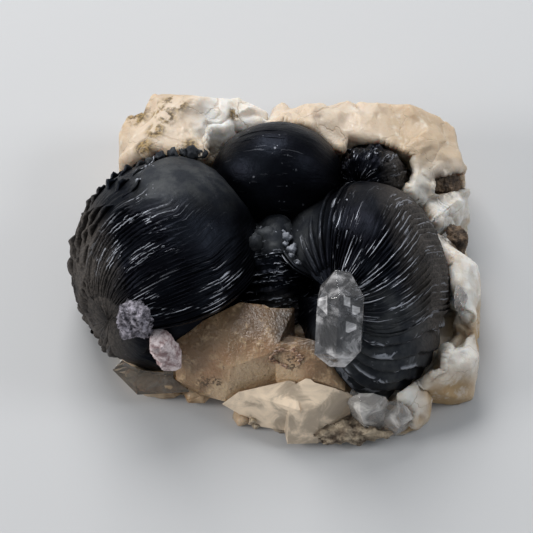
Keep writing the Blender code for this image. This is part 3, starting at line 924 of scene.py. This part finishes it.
centre_fan = fan(
    CENTRE_GROUP, 31.0, 13, (10.0, 110.0), (10.0, 158.0), Reach=0.975, Root=0.84, Thickness=0.020,
    Lean=9.0, Ragged=0.030, Wavy=5.0, Uneven=0.05, Notched=0.10,
)
centre_core = core_mesh(CENTRE_GROUP, centre_rule, 31.0, rough=0.03, swell=0.10, across=300, along=70)
LOBES = [(-3.2, 2.9, 14.2), (-0.6, 3.9, 13.7), (1.2, 4.4, 12.9)]
LOBE_RADII = [1.9, 2.2, 2.4]
lobes = lumps(LOBES, LOBE_RADII, face=1.0, around=0.0, polar=90.0)
centre_plates = join("centre_plates_stack", [centre_core, centre_fan, lobes])
paint(
    centre_plates,
    rim=lambda p: (-3.5 - p[:, 1]) / 4.0 + 0.5 * step(p[:, 1], 1.0, 2.0),
    shine=lambda p: 0.9,
    # A painted grey sheen on the lobes at the back of the stack.
    pale=lambda p: step(p[:, 1], 0.0, 2.0),
)
finish_piece(centre_plates, "centre_plates")


# %% Corner plates
def corner_rule(lon, polar):
    return np.full(lon.shape, 0.88), np.full(lon.shape, 0.2)


corner_fan = fan(
    CORNER, 41.0, 10, (-180.0, 144.0), (30.0, 125.0), Reach=0.93, Root=0.74, Thickness=0.05, Lean=16.0,
    Ragged=0.12, Wavy=16.0, Uneven=0.10, Notched=0.40,
)
corner_core = core_mesh(CORNER, corner_rule, 41.0, ribs=0.05, rough=0.10, across=180, along=60)
corner_plates = join("corner_plates_bunch", [corner_core, corner_fan])
paint(
    corner_plates,
    rim=lambda p: (p[:, 0] - 15.5) / 3.0,
    # Strength of the painted highlights, brightest along the crest of one raised edge.
    shine=lambda p: 0.6 + near(p, (13.1, 13.7, 16.0), 1.2, (17.4, 18.2, 15.8)),
)
finish_piece(corner_plates, "corner_plates")

# %% [markdown]
# ## Quartz and crusts
#
# The rock is milky quartz, broken on all sides. Quartz has no cleavage, so it breaks like glass, in
# shallow hollows that meet in ridges. The rock starts from its solid of the model, is divided into
# small even faces, and is then chipped: a large ball that just dips into the surface presses what is
# inside it back to the ball, more than a thousand times, first with large balls and then with small
# ones. Crusts are made in the same way, and their corners are worn off, because they have no faces.


# %% Copies of solids in small faces
def node_mesh(name):
    """A merged copy of a solid of the model, for a dressed piece to start from."""
    bm = bmesh.new()
    bm.from_mesh(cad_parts[name].data)
    bmesh.ops.remove_doubles(bm, verts=bm.verts, dist=1e-7)
    bmesh.ops.recalc_face_normals(bm, faces=bm.faces)
    mesh = bpy.data.meshes.new(name + "_copy")
    bm.to_mesh(mesh)
    bm.free()
    return mesh


def fine_copy(name, voxel):
    """The same solid in small even faces."""
    carrier = new_object(name + "_fine", node_mesh(name))
    modifier = carrier.modifiers.new("even", "REMESH")
    modifier.mode = "VOXEL"
    modifier.voxel_size = voxel
    return plain_mesh(carrier)


print("solids can be copied in small faces")


# %% Chips, roughness and worn corners
MEETING = 1.1  # millimetres by which the rock swells towards a rosette
MEETING_FROM, MEETING_TO = 1.03, 1.14  # sizes of a rosette between which that swelling fades
TILT = 0.25  # how far a ball may come from aside
HOLLOW_REACH = 1.6  # how far a ball acts, where 1 is the rim of its hollow
FADE_FROM = 0.66  # the share of that reach where its push begins to fade
ROUNDNESS = 2.6  # 2 for an egg, and more for a form with corners


def chip(points, normals, rng, count, ball, depth):
    """Presses many shallow hollows into a surface with balls that dip into it.

    A ball acts within a reach of its own, and more weakly towards the end of it.
    """
    for _ in range(count):
        pick = rng.integers(len(points))
        away = normals[pick] + TILT * rng.normal(size=3)
        away /= np.linalg.norm(away)
        radius = ball * rng.uniform(0.5, 1.5) * MM
        dip = depth * rng.uniform(0.3, 1.2) * MM
        middle = points[pick] + away * (radius - dip)
        reach = HOLLOW_REACH * math.sqrt(2.0 * radius * dip)
        apart = np.linalg.norm(points - points[pick], axis=1)
        close = np.flatnonzero(apart < reach)
        offset = points[close] - middle
        gap = np.linalg.norm(offset, axis=1)
        fade = 1.0 - step(apart[close], FADE_FROM * reach, reach)
        push = np.maximum(radius / gap - 1.0, 0.0) * fade
        points[close] += offset * push[:, None]
    return points


def roughen(points, normals, amount, scale, seed):
    """Moves every corner along its normal by a fractal noise, in millimetres."""
    shift = Vector((seed, seed, 0))
    lifts = [noise.fractal(Vector(p) * scale + shift, 0.9, 2.1, 4) for p in points / MM]
    return points + normals * (np.array(lifts) * amount * MM)[:, None]


def closeness(points):
    """1 for points in metres beside a rosette, and 0 away from them all."""
    spots = points / MM + MIDDLE
    rosettes = (LEFT, RIGHT, BACK, CENTRE_GROUP, CORNER)
    sizes = [np.linalg.norm((spots - r.centre) / r.semi, axis=1) for r in rosettes]
    return 1.0 - step(np.min(sizes, axis=0), MEETING_FROM, MEETING_TO)


def wear_off(points, low, high, seed):
    """Draws the corners of a lump in to an uneven round form inside its box."""
    middle, half = (low + high) / 2.0, (high - low) / 2.0
    share = np.sum(np.abs((points - middle) / half) ** ROUNDNESS, axis=1) ** (1.0 / ROUNDNESS)
    shift = Vector((seed, 0, seed))
    limit = [0.92 + 0.30 * noise.fractal(Vector(p) * 0.45 + shift, 0.8, 2.1, 3) for p in points / MM]
    pull = np.minimum(1.0, np.array(limit) / np.maximum(share, 1e-6))
    return middle + (points - middle) * pull[:, None]


print("the rock swells by", MEETING, "mm towards a rosette")


# %% Rock from a solid
def rock_piece(name, node, voxel, swell, chips, roughness, seed, material, worn=False):
    """A swollen, chipped and roughened copy of a solid that stays inside that solid's box.

    Where it lies beside a rosette it swells more, so that the two meet as they do in the stone.
    """
    mesh = fine_copy(node, voxel * MM)
    rng = np.random.default_rng(seed)
    points, normals = corners(mesh), corners(mesh, "normal")
    low, high = (np.array(corner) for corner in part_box(node))
    meeting = MEETING * closeness(points)
    for count, ball, depth in chips:
        points = chip(points, normals, rng, count, ball, depth)
    points += normals * (swell + meeting)[:, None] * MM
    for amount, scale in roughness:
        points = roughen(points, normals, amount, scale, seed)
    if worn:
        points = wear_off(points, low, high, seed)
    mesh.vertices.foreach_set("co", np.clip(points, low, high).ravel())
    mesh.update()
    mesh.shade_smooth()
    mesh.materials.clear()
    mesh.materials.append(material)
    return new_object(name, mesh)


print("rule for the rock ready")

# %% [markdown]
# ## Finishes of the rock
#
# The milky quartz is cream, whiter on its right and at the back left, and tan below the crystals.
# Iron has stained it yellow and brown in its pits and along the lower right rind. Colour that
# belongs to one place is put there by a distance from a point of the specimen, broken up by noise.


# %% Places of the colours: a point in millimetres of the drawing, and a reach
STAINS = [((-20.0, 25.2, 13.2), 3.0), ((-18.9, 18.4, 16.0), 2.4), ((-16.9, 24.9, 15.4), 2.2)]
STAINS += [((-15.4, 23.2, 16.2), 2.0), ((-14.3, 26.0, 16.0), 3.0), ((-17.1, 21.1, 16.0), 2.2)]
STAINS += [((-12.0, 18.4, 16.2), 1.6), ((-5.5, 25.1, 13.9), 1.8), ((-18.6, 26.2, 11.1), 4.4)]
PALE = [((-6.5, 24.0, 14.5), 7.0), ((-4.0, 26.0, 10.0), 6.0)]
RIND = [((29.5, -6.0, 2.0), 8.0), ((24.5, -14.5, 2.0), 8.0)]
RIND += [((19.0, -18.5, 1.5), 5.0), ((29.5, 2.0, 1.0), 5.0)]
BROWN = [((4.0, -19.0, 1.0), 5.0), ((24.9, 14.4, 11.6), 3.6), ((26.2, 6.2, 9.4), 3.2)]
TAN = [((-2.0, -12.0, 5.0), 12.0), ((-12.0, -14.0, 3.0), 9.0), ((8.0, -15.0, 5.0), 7.0)]
WHITE_FROM, WHITE_FULL = 14.0, 20.0  # millimetres to the right, where the rock turns whiter


def blob(at, centre, radius):
    """1 near a point of the drawing, fading to 0 at a distance in millimetres."""
    distance = at.vector("DISTANCE", tuple(place(centre)), out=1)
    return 1.0 - distance.between(0.35 * radius * MM, radius * MM)


def any_of(at, places):
    """The strongest of several blobs."""
    total = blob(at, *places[0])
    for spot in places[1:]:
        total = total.math("MAXIMUM", blob(at, *spot))
    return total


print("stained places of the rock:", len(STAINS + RIND + BROWN))


# %% Finish: milky quartz
def milky_finish():
    material, shader, at = new_finish(
        "milky_quartz_rock", Subsurface_Weight=0.40, Subsurface_Scale=0.0025, IOR=1.54
    )
    shader.inputs["Subsurface Radius"].default_value = (1.0, 0.7, 0.45)
    broad = at.speckle(70.0, 4.0)
    fine = at.speckle(420.0, 5.0, 0.62)
    dust = at.speckle(1900.0, 3.0)
    body = broad.between(0.36, 0.66).mix(rgb(0.50, 0.38, 0.26), rgb(0.60, 0.49, 0.38))
    body = fine.between(0.54, 0.80).mix(body, rgb(0.68, 0.62, 0.53))
    right, behind = at.part(0) / MM + float(MIDDLE[0]), at.part(1) / MM
    white = right.between(WHITE_FROM, WHITE_FULL) * (1.0 - behind.between(10.0, 15.0))
    white = white.math("MAXIMUM", any_of(at, PALE))
    milk = broad.between(0.4, 0.6).mix(rgb(0.56, 0.53, 0.48), rgb(0.76, 0.74, 0.70))
    body = (white * fine.between(0.15, 0.60)).mix(body, milk)
    tan = any_of(at, TAN)
    body = tan.mix(body, fine.between(0.35, 0.65).mix(rgb(0.26, 0.16, 0.08), rgb(0.48, 0.34, 0.21)))
    rind = any_of(at, RIND) * fine.between(0.28, 0.52)
    body = rind.mix(body, rgb(0.42, 0.28, 0.14))
    veins = {"feature": "DISTANCE_TO_EDGE"}
    bent = at.vector("ADD", at.speckle(300.0, 3.0).scaled(0.004))
    cells = at.make("ShaderNodeTexVoronoi", veins, {"Vector": bent, "Scale": 110.0})
    cracks = 1.0 - cells.between(0.0, 0.02)
    body = (cracks * broad.between(0.54, 0.64) * 0.5).mix(body, rgb(0.34, 0.23, 0.14))
    stain = any_of(at, STAINS) * fine.between(0.42, 0.52)
    body = stain.mix(body, dust.between(0.4, 0.6).mix(rgb(0.09, 0.055, 0.02), rgb(0.32, 0.22, 0.09)))
    brown = any_of(at, BROWN) * fine.between(0.38, 0.55)
    body = brown.mix(body, rgb(0.10, 0.065, 0.04))
    connect(body, shader, "Base Color")
    connect(0.46 + fine * 0.25 - dust.between(0.56, 0.66) * 0.3, shader, "Roughness")
    facets = at.make("ShaderNodeTexVoronoi", {"feature": "F1"}, {"Vector": bent, "Scale": 520.0})
    height = fine * 0.7 + dust * 0.3 - cracks * 0.3 + facets * 0.5
    connect(bump(height, 0.00030, 0.8), shader, "Normal")
    return material


milky = milky_finish()
print("finish:", milky.name)

# %% [markdown]
# ## Finishes of the crystals and the crusts
#
# A clear crystal is glass with the light-bending of quartz, and takes on a colour with depth. It is
# frosty where it was etched and along veils. Its glints and reflections are painted, as straight-sided
# patches of the same white frost. So its finish mixes clear glass with a white, frosty surface by a mask.


# %% Finishes: tinted quartz, clear quartz and crusts
CREAM = [((-3.0, -15.5, 7.5), 5.0), ((2.0, -15.0, 7.5), 4.5), ((-6.5, -16.5, 4.5), 4.0)]
WARM = [((-2.0, -13.5, 9.0), 5.0), ((3.5, -14.0, 9.0), 4.0), ((-7.5, -14.0, 8.0), 4.5)]
DEEP = [((3.0, -8.5, 11.0), 4.6), ((6.0, -10.5, 11.0), 4.2), ((2.0, -10.6, 11.8), 2.6)]


def tan_finish():
    material, shader, at = new_finish(
        "tan_quartz", IOR=1.54, Subsurface_Weight=0.25, Subsurface_Scale=0.0015
    )
    shader.inputs["Subsurface Radius"].default_value = (1.0, 0.55, 0.28)
    broad = at.speckle(90.0, 3.0)
    fine = at.speckle(700.0, 4.0, 0.6)
    grit = at.speckle(2400.0, 3.0)
    body = broad.between(0.34, 0.66).mix(rgb(0.16, 0.095, 0.050), rgb(0.28, 0.18, 0.100))
    body = (any_of(at, WARM) * broad.between(0.2, 0.5)).mix(body, rgb(0.36, 0.21, 0.115))
    body = fine.between(0.50, 0.72).mix(body, rgb(0.50, 0.35, 0.21))
    body = (any_of(at, CREAM) * 0.8).mix(body, rgb(0.60, 0.44, 0.28))
    body = any_of(at, DEEP).mix(body, fine.mix(rgb(0.025, 0.017, 0.012), rgb(0.12, 0.08, 0.05)))
    specks = grit.between(0.60, 0.66) * fine.between(0.44, 0.60)
    body = (specks * 0.7).mix(body, rgb(0.12, 0.07, 0.035))
    pits = [((-9.6, -15.4, 6.0), 1.6), ((-8.0, -15.6, 6.4), 1.2), ((3.0, -14.2, 10.2), 2.0)]
    spots = any_of(at, pits)
    body = (spots * grit.between(0.48, 0.56)).mix(body, rgb(0.10, 0.06, 0.03))
    ridge = measure(at, "edge")
    body = ridge.mix(body, grit.between(0.4, 0.6).mix(rgb(0.14, 0.075, 0.045), rgb(0.42, 0.26, 0.17)))
    connect(body, shader, "Base Color")
    connect(0.20 + fine * 0.25, shader, "Roughness")
    connect(bump(fine + grit * 0.4, 0.00040, 0.9), shader, "Normal")
    return material


def patch(at, centre, half):
    """1 inside a straight-sided block, given by its middle and half its size in millimetres."""
    away = at.vector("SUBTRACT", tuple(place(centre))).vector("ABSOLUTE")
    away = away.vector("DIVIDE", tuple(side * MM for side in half))
    farthest = away.part(0).math("MAXIMUM", away.part(1)).math("MAXIMUM", away.part(2))
    return 1.0 - farthest.between(0.85, 1.0)


def clear_finish(name, tint, density, frost, amount, places=(), glint_patches=(), axis=(0.0, 0.0, 1.0)):
    """Glass and frost mixed: the colour it takes on with depth, the frost's colour and places, and patches
    of painted glints.
    """
    material, shader, at = new_finish(name, Transmission_Weight=1.0, IOR=1.544)
    veil = at.speckle(300.0, 4.0, 0.62, 0.8)
    fine = at.speckle(1600.0, 3.0)
    height = at.vector("DOT_PRODUCT", axis, out=1)
    lines = (height * 9000.0 + veil * 9.0).math("SINE")
    normal = bump(veil * 0.6 + fine * 0.3 + lines * 0.12, 0.00008, 0.6)
    connect(0.03 + veil.between(0.5, 0.8) * 0.15, shader, "Roughness")
    connect(normal, shader, "Normal")
    grey = veil.between(0.35, 0.65).mix(tuple(0.75 * c for c in frost[:3]) + (1.0,), frost)
    values = {"Base Color": grey, "Roughness": 0.35, "Normal": normal}
    frosty = at.make("ShaderNodeBsdfPrincipled", {}, values)
    mask = amount + veil.between(0.46, 0.70) * 0.45
    if places:
        mask = mask + any_of(at, places) * veil.between(0.30, 0.55) * 0.8
    # Painted glints and reflections: straight-sided patches of white frost.
    for centre, half in glint_patches:
        mask = mask + patch(at, centre, half) * (0.25 + veil.between(0.35, 0.60) * 0.6)
    glass = Flow(material.node_tree, shader.outputs[0])
    mixed = at.make("ShaderNodeMixShader", {}, {0: mask.math("MINIMUM", 1.0), 1: glass, 2: frosty})
    depth = at.make("ShaderNodeVolumeAbsorption", {}, {"Color": tint, "Density": density})
    end = material.node_tree.nodes["Material Output"]
    material.node_tree.links.new(mixed.socket, end.inputs["Surface"])
    material.node_tree.links.new(depth.socket, end.inputs["Volume"])
    return material


def crust_finish(name, dark, light, scale, shine=0.0):
    material, shader, at = new_finish(name, Metallic=shine)
    knobs = at.speckle(scale, 5.0, 0.65)
    grit = at.speckle(scale * 4.0, 3.0)
    connect(knobs.between(0.36, 0.66).mix(dark, light), shader, "Base Color")
    connect(0.85 - grit.between(0.5, 0.7) * 0.35, shader, "Roughness")
    connect(bump(knobs * 0.7 + grit * 0.3, 0.0004, 1.0), shader, "Normal")
    return material


# Painted glints on the standing crystal: the reflection on its bright left face and three flashes, each a
# block in millimetres.
STANDING_GLINTS = [((7.0, -10.9, 21.0), (0.7, 1.3, 1.3)), ((10.4, -10.9, 21.7), (0.5, 0.5, 1.0))]
STANDING_GLINTS += [((11.7, -11.6, 20.8), (0.6, 0.5, 1.0)), ((11.0, -13.5, 19.3), (0.8, 0.6, 1.0))]
STANDING_AXIS = (0.05, 0.72, 0.69)
amber = tan_finish()
standing = clear_finish(
    "standing_quartz_crystal", rgb(0.78, 0.77, 0.80), 70.0, rgb(0.80, 0.78, 0.79), 0.08,
    [((9.2, -17.0, 13.5), 4.5)], STANDING_GLINTS, STANDING_AXIS,
)
clear = clear_finish("small_quartz_crystals", rgb(0.92, 0.89, 0.85), 40.0, rgb(0.84, 0.80, 0.76), 0.30)
smoky = clear_finish("smoky_quartz", rgb(0.70, 0.62, 0.54), 120.0, rgb(0.20, 0.17, 0.14), 0.30)
cream_clear = clear_finish(
    "cream_quartz_crystals", rgb(0.94, 0.84, 0.70), 60.0, rgb(0.88, 0.71, 0.53), 0.60,
    [((-3.5, -18.0, 4.5), 7.0), ((6.5, -16.5, 9.0), 4.0)],
)
pinkish = crust_finish("pinkish_quartz", rgb(0.30, 0.20, 0.20), rgb(0.86, 0.74, 0.74), 900.0)
oxide = crust_finish("brown_oxide", rgb(0.030, 0.020, 0.014), rgb(0.18, 0.12, 0.075), 900.0)
stained = crust_finish("stained_quartz", rgb(0.07, 0.045, 0.028), rgb(0.52, 0.42, 0.30), 420.0)
druse = crust_finish("silvery_crust", rgb(0.05, 0.045, 0.055), rgb(0.46, 0.43, 0.49), 1300.0, 0.25)
print("finishes of rock, crystals and crusts ready")

# %% Rock and crusts
rock = rock_piece(
    "quartz_rock", "quartz_matrix", 0.30, 0.55, [(110, 40.0, 0.20), (560, 12.0, 0.15), (700, 3.0, 0.06)],
    [(0.15, 0.25), (0.05, 2.6)], 5, milky,
)
finish_piece(rock, "quartz_matrix")
for name, finish in (("back_crust", oxide), ("side_crust", oxide), ("front_crust", stained)):
    crust = rock_piece(
        name + "_lumps", name, 0.16, 0.3, [(40, 2.0, 0.25)], [(0.45, 1.3), (0.16, 4.0)], 7, finish, True
    )
    finish_piece(crust, name)
crust = rock_piece(
    "silvery_crust_grains", "pale_crust", 0.14, 0.2, [(30, 2.0, 0.2)], [(0.35, 0.6), (0.5, 1.2), (0.2, 4.5)],
    9, druse, True,
)
finish_piece(crust, "pale_crust")

# %% [markdown]
# ## Crystals
#
# A crystal is known by its flat faces, so the crystals keep the faces of their solids and only get
# slightly worn edges, with a bevel. On the tan mass lies a small curled ridge. The white sliver on
# the left rosette is broken on all sides, so it is made like the rock.


# %% Crystals
def crystal_piece(name, node, material, bevel):
    """A crystal with its flat faces and slightly worn edges."""
    carrier = new_object(name + "_faces", node_mesh(node))
    modifier = carrier.modifiers.new("worn_edges", "BEVEL")
    modifier.width = bevel * MM
    modifier.segments = 2
    modifier.limit_method = "ANGLE"
    modifier.angle_limit = math.radians(14.0)
    mesh = plain_mesh(carrier)
    mesh.materials.clear()
    mesh.materials.append(material)
    return new_object(name, mesh)


for name, node, material in (
    ("standing_crystal", "standing_quartz", standing),
    ("corner_crystals", "corner_quartz", clear),
    ("rim_crystals", "rim_quartz", clear),
    ("left_crystal", "left_quartz", smoky),
    ("front_crystals", "front_quartz", cream_clear),
):
    finish_piece(crystal_piece(name, node, material, 0.06), node)


# %% Tan mass with its curl, and the white sliver
def on_surface(obj, places):
    """The nearest places on a piece, for places in millimetres near it."""
    return [obj.closest_point_on_mesh(Vector(place(spot)))[1] for spot in places]


tan_rock = crystal_piece("tan_rock", "amber_quartz", amber, 0.10)
CURL = []
for turn in np.linspace(-0.6, 4.8, 48):
    reach = 1.0 + 0.25 * noise.noise(Vector((3.0 * turn, 0.0, 0.0)))
    rise = 0.9 * reach * math.sin(turn)
    CURL.append((2.0 + 2.2 * reach * math.cos(turn), -13.9 + rise, 10.6 + rise))
curl = ridge(on_surface(tan_rock, CURL), 0.36, 1.0)
tan_crystals = join("tan_crystals", [tan_rock.data, curl])
bpy.data.objects.remove(tan_rock)
finish_piece(tan_crystals, "amber_quartz")

sliver = rock_piece(
    "white_crystal", "white_quartz", 0.14, -0.35, [(10, 3.0, 0.12)], [(0.20, 1.0), (0.10, 4.0)], 4, pinkish
)
finish_piece(sliver, "white_quartz")
